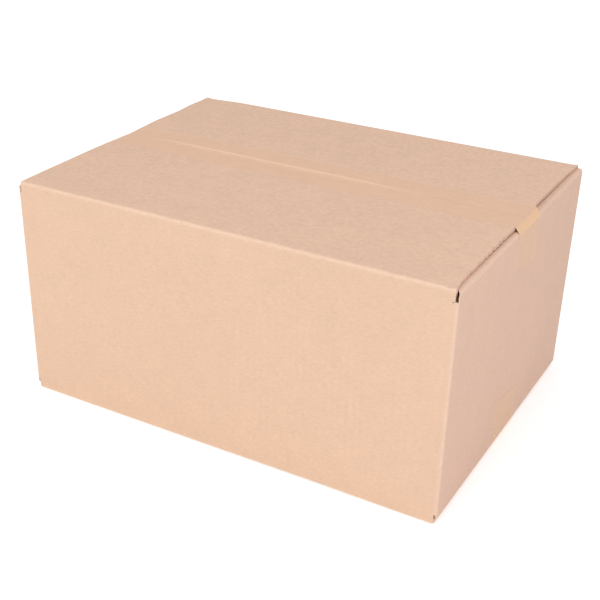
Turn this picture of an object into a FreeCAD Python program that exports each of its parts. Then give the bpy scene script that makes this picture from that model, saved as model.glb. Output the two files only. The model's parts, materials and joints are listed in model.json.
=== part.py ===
"""Closed shipping carton of single-wall corrugated board, with a strip of clear tape along
its top seam and one along its bottom seam.

Millimetres, +Z up. The origin is on the floor, under the middle of the carton. X runs along
the side panels and the seams, Y along the end panels, with the front side panel at -Y.

The carton is one folded sheet. Its side panels carry the outer (major) flaps, which meet at
the seams. Its end panels carry the inner (minor) flaps, which lie one board thickness further
in. A slot runs past the folds at each corner, and a glued tab joins the sheet to itself inside
the back left corner.
"""
import FreeCAD, Part
import os

import Sketcher

SIZES = (
    ("length", 400, "outside length, along X"),
    ("width", 291, "outside width, along Y"),
    ("height", 204, "floor to the top face beside the side folds"),
    ("board", 3, "thickness of the board"),
    ("liner", 0.4, "thickness of each paper face of the board"),
    ("cut_recess", 1.5, "how far the core stands back between the paper faces at a cut end"),
    ("fold_inside", 0.5, "inside radius of a flap fold"),
    ("fold_land", 2.5, "level stretch of a flap past its rounded fold"),
    ("corner_radius", 2, "outside radius of an upright corner"),
    ("layer_gap", 0.3, "clearance between flaps that lie on each other, and round their ends"),
    ("slot_side", 0.2, "reach of a corner slot along a side panel, past the end panel's board"),
    ("slot_overcut", 1.7, "how far a corner slot runs past the inner flaps"),
    ("inner_flap", 142, "reach of an inner flap from the end face"),
    ("seam_gap", 1, "gap between the outer flaps at a seam"),
    ("seam_rise", 2, "how far the top flaps are bowed up along the taped strip"),
    ("strip_margin", 6, "level part of a top flap beyond the tape's edge"),
    ("top_seam", 3.5, "place of the top seam and its tape, along Y"),
    ("bottom_seam", 1, "place of the bottom seam and its tape, along Y"),
    ("tab_width", 35, "reach of the glued tab from the left end face"),
    ("raw_edge", 0.5, "raw edge of the back panel, past the rounded corner that it meets"),
    ("tape_width", 50, "width of the tape"),
    ("tape_film", 0.1, "thickness of the tape with its glue"),
    ("top_tail", 44, "reach of the top tape's tail down an end, from the top face"),
    ("bottom_tail", 47.5, "reach of the bottom tape's tail up an end, from the floor"),
    ("tail_slant", 6, "difference in reach between the two edges of a tail"),
)

# Places worked out from the sizes, written as formulas for the sketches.
END = "Sizes.length / 2"
SIDE = "Sizes.width / 2"
TOP = "Sizes.height"
FLOOR = "Sizes.tape_film"
BOARD = "Sizes.board"
FOLD_OUTSIDE = f"({BOARD} + Sizes.fold_inside)"
INNER_TOP = f"{TOP} - {BOARD} - Sizes.layer_gap"
INNER_FLOOR = f"{FLOOR} + {BOARD} + Sizes.layer_gap"
FLAP_END = f"{END} - {BOARD} - Sizes.slot_side"
SLOT_FOOT = f"(2 * {BOARD} + Sizes.layer_gap + Sizes.slot_overcut)"
FOLD_END = f"({FOLD_OUTSIDE} + Sizes.fold_land)"
INNER_FLAP_SIDE = f"{SIDE} - {BOARD} - Sizes.layer_gap"
FLAP_EDGE = f"{END} - Sizes.inner_flap"
STRIP_TOP = f"{TOP} + Sizes.seam_rise"
STRIP_FRONT = "Sizes.top_seam - Sizes.tape_width / 2 - Sizes.strip_margin"
STRIP_BACK = "Sizes.top_seam + Sizes.tape_width / 2 + Sizes.strip_margin"

X, Y, Z = range(3)
NEAR = 1e-4
HELD_BY = (("Vertical", "DistanceX"), ("Horizontal", "DistanceY"))


def add_sheet(doc):
    """Puts every driving size in a spreadsheet, one row each: note, value, alias."""
    sheet = doc.addObject("Spreadsheet::Sheet", "Sizes")
    for row, (alias, value, note) in enumerate(SIZES, start=1):
        sheet.set(f"A{row}", note)
        sheet.set(f"B{row}", str(value))
        sheet.setAlias(f"B{row}", alias)
    doc.recompute()
    return sheet


def add_body(doc, name):
    """A body whose label names its file."""
    body = doc.addObject("PartDesign::Body", name)
    body.Label = name
    return body


def add_sketch(body, name, role, offset=None):
    """A sketch on one of the body's own origin planes, moved along its normal by a formula."""
    plane = next(item for item in body.Origin.OriginFeatures if item.Role == role)
    sketch = body.newObject("Sketcher::SketchObject", name)
    sketch.AttachmentSupport = [(plane, "")]
    sketch.MapMode = "FlatFace"
    if offset:
        sketch.setExpression("AttachmentOffset.Base.z", offset)
    return sketch


def add_outline(sketch, corners):
    """Draws a closed outline through corners given as pairs of formulas.

    An edge between corners that share a formula is held level or upright, and every other
    coordinate is a dimension bound to its formula.
    """
    values = [
        FreeCAD.Vector(*(float(sketch.evalExpression(formula)) for formula in corner))
        for corner in corners
    ]
    first = sketch.GeometryCount
    count = len(corners)
    for index in range(count):
        edge = Part.LineSegment(values[index], values[(index + 1) % count])
        sketch.addGeometry(edge)
    for index in range(count):
        following = first + (index + 1) % count
        sketch.addConstraint(Sketcher.Constraint("Coincident", first + index, 2, following, 1))
    for index, corner in enumerate(corners):
        previous = corners[index - 1]
        for axis, (held, dimension) in enumerate(HELD_BY):
            if index and corner[axis] == previous[axis]:
                sketch.addConstraint(Sketcher.Constraint(held, first + index - 1))
                continue
            value = values[index][axis]
            number = sketch.addConstraint(
                Sketcher.Constraint(dimension, -1, 1, first + index, 1, value)
            )
            sketch.setExpression(f"Constraints[{number}]", corner[axis])


def add_pad(body, name, sketch, length, both_ways=False):
    """A pad whose length is a formula."""
    pad = body.newObject("PartDesign::Pad", name)
    pad.Profile = sketch
    pad.SideType = "Symmetric" if both_ways else "One side"
    pad.setExpression("Length", length)
    return pad


def add_pocket(body, name, sketch, length, both_ways=False):
    """A pocket whose depth is a formula."""
    pocket = body.newObject("PartDesign::Pocket", name)
    pocket.Profile = sketch
    pocket.SideType = "Symmetric" if both_ways else "One side"
    pocket.setExpression("Length", length)
    return pocket


def straight_edges(shape, line):
    """Names of the straight edges along a line given as two pairs of an axis and a place."""
    names = []
    for number, edge in enumerate(shape.Edges, start=1):
        ends = [vertex.Point for vertex in edge.Vertexes]
        offsets = [abs(end[axis] - place) for end in ends for axis, place in line]
        if len(ends) == 2 and max(offsets) < NEAR:
            names.append(f"Edge{number}")
    return names


def add_fillet(body, name, base, lines, radius):
    """Rounds the edges of a feature along lines given as two pairs of an axis and a formula."""
    body.Document.recompute()
    names = []
    for line in lines:
        places = [(axis, float(body.evalExpression(formula))) for axis, formula in line]
        names += straight_edges(base.Shape, places)
    if len(names) != len(lines):
        raise RuntimeError(f"{name}: {len(names)} edges found for {len(lines)} lines")
    fillet = body.newObject("PartDesign::Fillet", name)
    fillet.Base = (base, names)
    fillet.setExpression("Radius", radius)
    return fillet


def add_walls(body):
    """The upright panels between the slots, with rounded corners and the glued tab."""
    sketch = add_sketch(body, "WallPlan", "XY_Plane", f"{FLOOR} + {SLOT_FOOT}")
    back_inside = f"{SIDE} - {BOARD}"
    raw_edge = f"-{END} + Sizes.corner_radius + Sizes.raw_edge"
    add_outline(sketch, (
        (raw_edge, SIDE),
        (END, SIDE),
        (END, f"-{SIDE}"),
        (f"-{END}", f"-{SIDE}"),
        (f"-{END}", back_inside),
        (raw_edge, back_inside),
    ))
    tab_end = f"-{END} + Sizes.tab_width"
    tab_inside = f"{SIDE} - 2 * {BOARD}"
    left_inside = f"-{END} + {BOARD}"
    right_inside = f"{END} - {BOARD}"
    front_inside = f"-{SIDE} + {BOARD}"
    add_outline(sketch, (
        (left_inside, front_inside),
        (right_inside, front_inside),
        (right_inside, back_inside),
        (tab_end, back_inside),
        (tab_end, tab_inside),
        (left_inside, tab_inside),
    ))
    walls = add_pad(body, "Walls", sketch, f"{TOP} - {FLOOR} - 2 * {SLOT_FOOT}")
    corners = (
        ((X, END), (Y, SIDE)),
        ((X, END), (Y, f"-{SIDE}")),
        ((X, f"-{END}"), (Y, f"-{SIDE}")),
        ((X, f"-{END}"), (Y, back_inside)),
    )
    return add_fillet(body, "Corners", walls, corners, "Sizes.corner_radius")


def add_side_panels(body):
    """The side panels, each in one run with its top and bottom outer flap."""
    sketch = add_sketch(body, "SideSection", "YZ_Plane")
    for sign, strip_edge in (("-", STRIP_FRONT), ("", STRIP_BACK)):
        inward = "+" if sign == "-" else "-"
        outside = f"{sign}{SIDE}"
        inside = f"{outside} {inward} {BOARD}"
        land = f"{outside} {inward} {FOLD_END}"
        half_gap = f"{sign or '+'} Sizes.seam_gap / 2"
        bottom_edge = f"Sizes.bottom_seam {half_gap}"
        top_edge = f"Sizes.top_seam {half_gap}"
        flap_inside = f"{TOP} - {BOARD}"
        strip_inside = f"{STRIP_TOP} - {BOARD}"
        floor_inside = f"{FLOOR} + {BOARD}"
        add_outline(sketch, (
            (bottom_edge, FLOOR),
            (outside, FLOOR),
            (outside, TOP),
            (land, TOP),
            (strip_edge, STRIP_TOP),
            (top_edge, STRIP_TOP),
            (top_edge, strip_inside),
            (strip_edge, strip_inside),
            (land, flap_inside),
            (inside, flap_inside),
            (inside, floor_inside),
            (bottom_edge, floor_inside),
        ))
    return add_pad(body, "SidePanels", sketch, f"2 * ({FLAP_END})", both_ways=True)


def add_end_panels(body):
    """The end panels, each in one run with its top and bottom inner flap."""
    sketch = add_sketch(body, "EndSection", "XZ_Plane")
    for sign in ("-", ""):
        inward = "+" if sign == "-" else "-"
        outside = f"{sign}{END}"
        inside = f"{outside} {inward} {BOARD}"
        edge = f"{sign}({FLAP_EDGE})"
        flap_inside = f"{INNER_TOP} - {BOARD}"
        floor_inside = f"{INNER_FLOOR} + {BOARD}"
        add_outline(sketch, (
            (edge, INNER_FLOOR),
            (outside, INNER_FLOOR),
            (outside, INNER_TOP),
            (edge, INNER_TOP),
            (edge, flap_inside),
            (inside, flap_inside),
            (inside, floor_inside),
            (edge, floor_inside),
        ))
    return add_pad(body, "EndPanels", sketch, f"2 * ({INNER_FLAP_SIDE})", both_ways=True)


def add_cut_ends(body):
    """The cut ends of the outer flaps, where the core stands back between the paper faces."""
    sketch = add_sketch(body, "CoreSection", "YZ_Plane", FLAP_END)
    front = f"-{SIDE} + {FOLD_END}"
    back = f"{SIDE} - {FOLD_END}"
    under_face = "- Sizes.liner"
    over_face = f"- {BOARD} + Sizes.liner"
    add_outline(sketch, (
        (front, f"{TOP} {under_face}"),
        (STRIP_FRONT, f"{STRIP_TOP} {under_face}"),
        (STRIP_BACK, f"{STRIP_TOP} {under_face}"),
        (back, f"{TOP} {under_face}"),
        (back, f"{TOP} {over_face}"),
        (STRIP_BACK, f"{STRIP_TOP} {over_face}"),
        (STRIP_FRONT, f"{STRIP_TOP} {over_face}"),
        (front, f"{TOP} {over_face}"),
    ))
    add_outline(sketch, (
        (front, f"{FLOOR} + Sizes.liner"),
        (back, f"{FLOOR} + Sizes.liner"),
        (back, f"{FLOOR} + {BOARD} - Sizes.liner"),
        (front, f"{FLOOR} + {BOARD} - Sizes.liner"),
    ))
    pocket = add_pocket(body, "RightCutEnds", sketch, "Sizes.cut_recess")
    mirror = body.newObject("PartDesign::Mirrored", "LeftCutEnds")
    mirror.Originals = [pocket]
    plane = next(item for item in body.Origin.OriginFeatures if item.Role == "YZ_Plane")
    mirror.MirrorPlane = (plane, [""])
    body.Tip = mirror
    return mirror


def add_folds(body, base):
    """Rounds the flap folds, outside and inside."""
    outside, inside = [], []
    for sign, inward in (("-", "+"), ("", "-")):
        side, end = f"{sign}{SIDE}", f"{sign}{END}"
        outside += [
            ((Y, side), (Z, FLOOR)),
            ((Y, side), (Z, TOP)),
            ((X, end), (Z, INNER_FLOOR)),
            ((X, end), (Z, INNER_TOP)),
        ]
        side, end = f"{side} {inward} {BOARD}", f"{end} {inward} {BOARD}"
        inside += [
            ((Y, side), (Z, f"{FLOOR} + {BOARD}")),
            ((Y, side), (Z, f"{TOP} - {BOARD}")),
            ((X, end), (Z, f"{INNER_FLOOR} + {BOARD}")),
            ((X, end), (Z, f"{INNER_TOP} - {BOARD}")),
        ]
    outer_folds = add_fillet(body, "OuterFolds", base, outside, FOLD_OUTSIDE)
    return add_fillet(body, "InnerFolds", outer_folds, inside, "Sizes.fold_inside")


def build_carton(doc):
    """The folded sheet."""
    body = add_body(doc, "carton")
    add_walls(body)
    add_side_panels(body)
    add_end_panels(body)
    base = add_cut_ends(body)
    add_folds(body, base)
    return body


def build_tape(doc, name, seam, flap_face, film_side, fold_face, fold_side, reach):
    """A strip of tape over a seam, bent down over the folds of both end panels.

    flap_face is the height of the flaps that it covers and fold_face that of the end panels'
    folds. film_side and fold_side are the signs of the ways that the film lies out from the
    flaps and back from the fold. reach is the height where the longer edge of a tail ends.
    """
    body = add_body(doc, name)
    section = add_sketch(body, f"{name}_section", "XZ_Plane")
    film_face = f"{flap_face} {film_side} Sizes.tape_film"
    bend = f"{fold_face} {fold_side} {FOLD_OUTSIDE} / 2"
    film_end = f"{END} + Sizes.tape_film"
    add_outline(section, (
        (f"-({film_end})", reach),
        (f"-({film_end})", bend),
        (f"-({FLAP_END})", film_face),
        (FLAP_END, film_face),
        (film_end, bend),
        (film_end, reach),
        (END, reach),
        (END, bend),
        (FLAP_END, flap_face),
        (f"-({FLAP_END})", flap_face),
        (f"-{END}", bend),
        (f"-{END}", reach),
    ))
    strip = add_pad(body, f"{name}_strip", section, "Sizes.tape_width", both_ways=True)
    slant = add_sketch(body, f"{name}_slant", "YZ_Plane")
    short_edge = f"{reach} {film_side} Sizes.tail_slant"
    slant_y = ("-Sizes.tape_width / 2", "Sizes.tape_width / 2")
    if film_side == "-":
        slant_y = slant_y[::-1]
    add_outline(slant, (
        (slant_y[0], reach),
        (slant_y[1], reach),
        (slant_y[0], short_edge),
    ))
    doc.recompute()
    whole = strip.Shape.Volume
    add_pocket(body, f"{name}_torn_ends", slant, "2 * Sizes.length", both_ways=True)
    body.setExpression("Placement.Base.y", seam)
    doc.recompute()
    if not body.Shape.Volume < whole:
        raise RuntimeError(f"{name}: the slanted ends cut nothing")
    return body


def check(doc, bodies):
    """Stops if an object failed, or a sub-part isn't one valid solid."""
    doc.recompute()
    for item in doc.Objects:
        if "Invalid" in item.State or "Error" in item.State:
            raise RuntimeError(f"{item.Name} failed: {item.State}")
    for body in bodies:
        shape = body.Shape
        if shape.isNull() or not shape.isValid() or len(shape.Solids) != 1:
            raise RuntimeError(f"{body.Label} isn't one valid solid")


def main():
    """Builds the document and writes one file for each sub-part."""
    doc = FreeCAD.newDocument("shipping_carton")
    add_sheet(doc)
    bodies = [
        build_carton(doc),
        build_tape(doc, "top_tape", "Sizes.top_seam", STRIP_TOP, "+", INNER_TOP, "-",
                   f"{TOP} - Sizes.top_tail"),
        build_tape(doc, "bottom_tape", "Sizes.bottom_seam", FLOOR, "-", INNER_FLOOR, "+",
                   "Sizes.bottom_tail"),
    ]
    check(doc, bodies)
    os.makedirs("parts", exist_ok=True)
    for body in bodies:
        body.Shape.exportStep(f"parts/{body.Label}.step")
        box = body.Shape.BoundBox
        print(body.Label, len(body.Shape.Solids), round(body.Shape.Volume), box)


main()
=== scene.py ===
"""Looks of a closed shipping carton: kraft board with rounded folds, cut ends and corner
slots, and clear amber tape over its seams.

Metres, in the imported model's frame: +Z up, the origin on the floor under the middle of the
carton, X along the seams, the front side panel at -Y.
"""
import json
import logging
import math
import random
from contextlib import contextmanager
from dataclasses import dataclass
from enum import Enum, IntEnum
from typing import Callable, Iterator, Sequence

import bmesh
import bpy
from mathutils import Matrix, Vector

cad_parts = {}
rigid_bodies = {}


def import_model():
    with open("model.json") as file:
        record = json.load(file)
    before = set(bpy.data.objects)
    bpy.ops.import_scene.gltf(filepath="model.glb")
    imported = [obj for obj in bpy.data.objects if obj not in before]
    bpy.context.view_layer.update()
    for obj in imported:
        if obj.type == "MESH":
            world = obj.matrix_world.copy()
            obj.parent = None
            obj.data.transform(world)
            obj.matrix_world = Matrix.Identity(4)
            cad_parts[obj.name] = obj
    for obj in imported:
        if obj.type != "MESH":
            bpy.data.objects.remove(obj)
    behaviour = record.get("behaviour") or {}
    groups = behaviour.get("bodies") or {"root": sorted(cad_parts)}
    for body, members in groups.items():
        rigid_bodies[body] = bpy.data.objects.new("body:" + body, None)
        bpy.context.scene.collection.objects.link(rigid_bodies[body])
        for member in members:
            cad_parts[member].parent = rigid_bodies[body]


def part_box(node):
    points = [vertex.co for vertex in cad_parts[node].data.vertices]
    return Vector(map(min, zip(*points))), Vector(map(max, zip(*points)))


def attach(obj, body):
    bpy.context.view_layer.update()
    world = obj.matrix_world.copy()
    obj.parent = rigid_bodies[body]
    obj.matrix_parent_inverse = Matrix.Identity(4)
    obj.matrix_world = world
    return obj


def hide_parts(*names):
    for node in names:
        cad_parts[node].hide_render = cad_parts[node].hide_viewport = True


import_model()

LOG = logging.getLogger("carton")
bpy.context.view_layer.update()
MM = 0.001
# How near a point or face has to lie to a place to be picked there.
TIGHT = 0.02 * MM
SLACK = 0.05 * MM
LOOSE = 0.1 * MM
# How far a normal has to lean to an axis for its face to be picked.
FACING = 0.9
FACING_END = 0.7
FACING_CUT = 0.3
FLUTE_PITCH = 6.4 * MM
SMOOTH_ANGLE = math.radians(30)
FLOAT, COLOR, VECTOR = "NodeSocketFloat", "NodeSocketColor", "NodeSocketVector"

Point = tuple[float, float]
Curve = Sequence[Point]
Colour = tuple[float, float, float]
Socket = bpy.types.NodeSocket

SIDE_PAPER: Colour = (0.66, 0.456, 0.327)
# The end panels' paper is the side paper painted a little darker, as shade.
SHADED_END_PAPER: Colour = (0.638, 0.436, 0.329)


class Part(Enum):
    """What an edit picks: its value is the name of Blender's selection mode."""

    EDGE = "EDGE"
    FACE = "FACE"


class Axis(Enum):
    """An axis of the frame: its value is the place of the coordinate in a vector."""

    X = 0
    Y = 1
    Z = 2


class FluteRun(Enum):
    """The axis along which the flutes under a panel's face follow each other."""

    ALONG_X = "X"
    ALONG_Y = "Y"


class Slot(IntEnum):
    """The carton's material slots, in the order in which its finishes are given."""

    SIDE = 0
    EDGE = 1
    # The end panels' paper, painted darker than the sides' as shade.
    END = 2
    # Painted shade: near-black board in the slots and behind the near top slot.
    SHADE = 3


def eased(curve: Curve, place: float) -> float:
    """Reads a curve given by a few points, with a smooth step between each two.

    Args:
        curve: pairs of place and value, in rising order of place.
        place: where the curve is read.

    Returns:
        The value there, held level past the first and the last point.
    """
    if place <= curve[0][0]:
        return curve[0][1]
    for (start, low), (end, high) in zip(curve, curve[1:]):
        if place <= end:
            share = (place - start) / (end - start)
            return low + (high - low) * share * share * (3 - 2 * share)
    return curve[-1][1]


def in_mm(*points: Point, unit: float = MM) -> Curve:
    """Makes a curve from points whose places are in millimetres.

    Args:
        points: pairs of place and value.
        unit: the values' unit, which is millimetres, or 1 for shares.

    Returns:
        The curve, with its places in metres.
    """
    return tuple((place * MM, value * unit) for place, value in points)


@dataclass(frozen=True)
class BoxSizes:
    """Sizes of the carton that every piece is made from."""

    half_length: float
    half_width: float
    floor: float
    top: float
    film: float
    top_seam: float
    bottom_seam: float
    tape_width: float
    top_tail_end: float
    bottom_tail_end: float
    board: float = 3.0 * MM
    fold_radius: float = 3.5 * MM
    crease_radius: float = 2.0 * MM
    end_radius: float = 3.0 * MM
    corner_radius: float = 1.2 * MM
    layer_gap: float = 0.3 * MM
    slot_width: float = 2.7 * MM
    slot_overcut: float = 3.4 * MM
    seam_gap: float = 0.4 * MM
    seam_rise: float = 2.0 * MM
    inner_flap: float = 142.0 * MM
    tab_width: float = 35.0 * MM
    raw_edge: float = 0.5 * MM
    tail_slant: float = 8.0 * MM

    @classmethod
    def from_frame(cls) -> "BoxSizes":
        """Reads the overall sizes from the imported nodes.

        Returns:
            The sizes, with the board's own values at their defaults.
        """
        low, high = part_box("carton")
        top_low, top_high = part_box("top_tape")
        bottom_low, bottom_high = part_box("bottom_tape")
        return cls(
            half_length=high[0],
            half_width=high[1],
            floor=low[2],
            top=high[2] - cls.seam_rise,
            film=top_high[2] - high[2],
            top_seam=(top_low[1] + top_high[1]) / 2,
            bottom_seam=(bottom_low[1] + bottom_high[1]) / 2,
            tape_width=top_high[1] - top_low[1],
            top_tail_end=top_low[2],
            bottom_tail_end=bottom_high[2],
        )

    @property
    def middle(self) -> float:
        """Height halfway up the carton."""
        return (self.floor + self.top) / 2

    @property
    def flap_end(self) -> float:
        """Distance of an outer flap's cut end from the middle, at its fold."""
        return self.half_length - self.slot_width

    @property
    def inner_side(self) -> float:
        """Distance of an end panel's slot edge from the middle."""
        return self.half_width - self.board - self.layer_gap

    @property
    def inner_top(self) -> float:
        """Height of the inner top flaps' outer face."""
        return self.top - self.board - self.layer_gap

    @property
    def inner_floor(self) -> float:
        """Height of the inner bottom flaps' outer face."""
        return self.floor + self.board + self.layer_gap

    @property
    def slot_foot(self) -> float:
        """How far a corner slot runs from the outer face of the flaps."""
        return 2 * self.board + self.layer_gap + self.slot_overcut

    @property
    def joint_inside(self) -> float:
        """Place along Y of the left end panel's fold into the glued tab."""
        return self.half_width - self.board


@dataclass(frozen=True)
class TopBow:
    """How far the closed top flaps are bowed up towards their seam.

    The back flap's edge stands a little above the front one's along the left and the middle of
    the seam, and both are held down by the tape at the ends.
    """

    sizes: BoxSizes
    strip_margin: float = 6.0 * MM
    step_width: float = 3.2 * MM
    back_lift: Curve = in_mm((-200, 0.0), (-130, 1.8), (90, 1.8), (195, 0.9))
    lip: Curve = in_mm((-160, 0.0), (-110, 1.0), (30, 1.1), (70, 0.6), (105, 0.4), (130, 0.0))

    def ramp(self, y: float) -> float:
        """Share of the full lift at a place across the top, 0 at the side folds."""
        start = self.sizes.half_width - self.sizes.fold_radius
        end = self.sizes.tape_width / 2 + self.strip_margin
        return eased(((end, 1.0), (start, 0.0)), abs(y - self.sizes.top_seam))

    def front(self, x: float, y: float) -> float:
        """Lift of the front flap at a place."""
        return self.ramp(y) * (eased(self.back_lift, x) - eased(self.lip, x))

    def back(self, x: float, y: float) -> float:
        """Lift of the back flap at a place."""
        return self.ramp(y) * eased(self.back_lift, x)

    def film(self, x: float, y: float) -> float:
        """Lift of the tape, which slopes from the back flap's edge down to the front flap."""
        back_edge = self.sizes.top_seam + self.sizes.seam_gap / 2
        share = eased(((back_edge - self.step_width, 0.0), (back_edge, 1.0)), y)
        front, back = self.front(x, y), self.back(x, y)
        return front if front > back else front + share * (back - front)


@dataclass
class Bench:
    """A mesh on the bench, shaped in edit mode on what is picked by its place."""

    piece: bpy.types.Object

    @classmethod
    def start(
        cls, name: str, low: Vector, high: Vector, divisions: tuple[int, int] | None = None
    ) -> "Bench":
        """Adds a cube or a level grid between two corners, with its place in its mesh.

        Args:
            name: name of the piece and of its mesh.
            low: lowest corner.
            high: highest corner.
            divisions: the grid's divisions along X and Y, or nothing for a cube.

        Returns:
            The bench with the new piece on it.
        """
        bpy.ops.object.select_all(action="DESELECT")
        middle = (low + high) / 2
        if divisions:
            columns, rows = divisions
            bpy.ops.mesh.primitive_grid_add(
                size=1, x_subdivisions=columns, y_subdivisions=rows, location=middle
            )
        else:
            bpy.ops.mesh.primitive_cube_add(size=1, location=middle)
        piece = bpy.context.object
        piece.scale = [side or 1.0 for side in high - low]
        bpy.ops.object.transform_apply(location=True, rotation=True, scale=True)
        piece.name = piece.data.name = name
        return cls(piece)

    def select(self) -> None:
        """Makes the piece the only one selected, and the active one."""
        bpy.ops.object.select_all(action="DESELECT")
        bpy.context.view_layer.objects.active = self.piece
        self.piece.select_set(True)

    @contextmanager
    def editing(self) -> Iterator[None]:
        """Holds the piece in edit mode."""
        self.select()
        bpy.ops.object.mode_set(mode="EDIT")
        yield
        bpy.ops.object.mode_set(mode="OBJECT")

    def pick(self, part: Part, wanted: Callable[..., bool]) -> None:
        """Selects the edges or faces that a test wants, and nothing else.

        Args:
            part: what is picked.
            wanted: says of an element whether it is picked.
        """
        bpy.ops.mesh.select_mode(type=part.value)
        bpy.ops.mesh.select_all(action="DESELECT")
        mesh = bmesh.from_edit_mesh(self.piece.data)
        for element in mesh.faces if part is Part.FACE else mesh.edges:
            if wanted(element):
                element.select_set(True)
        bmesh.update_edit_mesh(self.piece.data)

    def pick_line(self, *places: tuple[Axis, float]) -> None:
        """Selects the edges whose two ends both lie at the given coordinates."""
        self.pick(
            Part.EDGE,
            lambda edge: all(
                abs(point.co[axis.value] - place) < TIGHT
                for point in edge.verts
                for axis, place in places
            ),
        )

    def cut(
        self, axis: Axis, place: float, wanted: Callable[..., bool] = lambda face: True
    ) -> None:
        """Cuts the picked faces along a plane across an axis."""
        self.pick(Part.FACE, wanted)
        normal = [0.0, 0.0, 0.0]
        normal[axis.value] = 1.0
        point = [place * share for share in normal]
        bpy.ops.mesh.bisect(plane_co=point, plane_no=normal)

    def drop(self, wanted: Callable[..., bool]) -> None:
        """Deletes the picked faces."""
        self.pick(Part.FACE, wanted)
        bpy.ops.mesh.delete(type="FACE")

    def draw_out(self, move: Sequence[float]) -> None:
        """Extrudes what is selected along a vector."""
        bpy.ops.mesh.extrude_region_move(TRANSFORM_OT_translate={"value": tuple(move)})

    def round_off(self, radius: float, segments: int) -> None:
        """Rounds the selected edges."""
        bpy.ops.mesh.bevel(offset=radius, segments=segments, profile=0.5, affect="EDGES")

    def apply(self, modifier: bpy.types.Modifier) -> None:
        """Applies a modifier to the mesh."""
        self.select()
        bpy.ops.object.modifier_apply(modifier=modifier.name)

    def push(
        self,
        axis: Axis,
        reach: float,
        share: Callable[[Vector], float],
        texture: bpy.types.Texture | None = None,
    ) -> None:
        """Moves points along an axis, each by its share of the reach.

        Args:
            axis: direction of the move.
            reach: move of a point whose share is 1.
            share: says of a point's place its share, from 0 to 1.
            texture: noise that scales each point's move, or nothing.
        """
        group = self.piece.vertex_groups.new(name="share")
        for vertex in self.piece.data.vertices:
            part = share(vertex.co)
            if part > 0:
                group.add([vertex.index], min(part, 1.0), "REPLACE")
        modifier = self.piece.modifiers.new("push", "DISPLACE")
        modifier.direction = axis.name
        modifier.mid_level = 0.0
        modifier.strength = reach
        modifier.vertex_group = group.name
        if texture:
            modifier.texture = texture
            modifier.texture_coords = "LOCAL"
        self.apply(modifier)
        self.piece.vertex_groups.clear()

    def thicken(self, thickness: float, edge_slot: int = 0) -> None:
        """Gives the sheet its thickness inwards from its outer face.

        Args:
            thickness: the sheet's thickness.
            edge_slot: material slot of the raw edges, counted from the faces' own slot.
        """
        modifier = self.piece.modifiers.new("thickness", "SOLIDIFY")
        modifier.thickness = thickness
        modifier.offset = -1.0
        modifier.use_even_offset = True
        modifier.material_offset_rim = edge_slot
        self.apply(modifier)

    def finish(self, *materials: bpy.types.Material) -> bpy.types.Object:
        """Smooths the piece's shading and gives it its materials.

        Args:
            materials: one for each slot, in order.

        Returns:
            The finished piece.
        """
        for material in materials:
            self.piece.data.materials.append(material)
        self.select()
        bpy.ops.object.shade_smooth_by_angle(angle=SMOOTH_ANGLE)
        return self.piece


@dataclass(frozen=True)
class Waves:
    """The low unevenness of the panels, always inwards from their flat faces."""

    sizes: BoxSizes
    reach: float = 0.9 * MM
    grain: float = 90.0 * MM
    fade: float = 35.0 * MM
    skin: float = 0.3 * MM

    def apply(self, bench: Bench) -> None:
        """Waves every point of a piece that lies on one of the carton's flat faces."""
        sizes = self.sizes
        texture = bpy.data.textures.new("board_waves", "CLOUDS")
        texture.noise_scale = self.grain
        texture.noise_depth = 1
        middle = sizes.middle
        faces = (
            (Axis.X, -sizes.half_length, 1),
            (Axis.X, sizes.half_length, -1),
            (Axis.Y, -sizes.half_width, 1),
            (Axis.Y, sizes.half_width, -1),
            (Axis.Z, sizes.top, -1),
        )
        halves = (sizes.half_length, sizes.half_width, sizes.top - middle)
        for axis, place, inward in faces:

            def share(point: Vector) -> float:
                """Full in the middle of the face, and nothing at its folds or off it."""
                if abs(point[axis.value] - place) > self.skin:
                    return 0.0
                centred = (point.x, point.y, point.z - middle)
                margins = [
                    halves[other.value] - abs(centred[other.value])
                    for other in Axis
                    if other is not axis
                ]
                return eased(((0.0, 0.0), (self.fade, 1.0)), min(margins))

            bench.push(axis, inward * self.reach, share, texture)
        bpy.data.textures.remove(texture)


@dataclass(frozen=True)
class LeftEnd:
    """How the handled box's left end leans in and the edge over it dips."""

    sizes: BoxSizes
    lean: float = 1.0 * MM
    foot_lean: float = 0.5
    dip: float = 1.5 * MM
    dip_foot: float = 14.0 * MM
    dip_full: float = 4.0 * MM
    root: float = -150.0 * MM
    dips: Curve = in_mm(
        (-60, 0.0),
        (-30, 0.4),
        (-10, 0.8),
        (10, 0.95),
        (30, 0.55),
        (50, 0.2),
        (90, 0.65),
        (110, 0.3),
        (133, 1.0),
        unit=1.0,
    )

    def apply(self, bench: Bench) -> None:
        """Pushes the left end of a piece in and the edge over it down."""
        sizes = self.sizes

        def near(point: Vector) -> float:
            """Full at the left end, fading out along the box."""
            return eased(((-sizes.half_length, 1.0), (self.root, 0.0)), point.x)

        def lean_share(point: Vector) -> float:
            """Share of the lean, which grows towards the top."""
            rising = ((sizes.floor, self.foot_lean), (sizes.top, 1.0))
            return near(point) * eased(rising, point.z)

        def dip_share(point: Vector) -> float:
            """Share of the dip, in the flaps and the fold only."""
            start, full = sizes.top - self.dip_foot, sizes.top - self.dip_full
            upper = eased(((start, 0.0), (full, 1.0)), point.z)
            return near(point) * upper * eased(self.dips, point.y)

        bench.push(Axis.X, self.lean, lean_share)
        bench.push(Axis.Z, -self.dip, dip_share)


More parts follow.
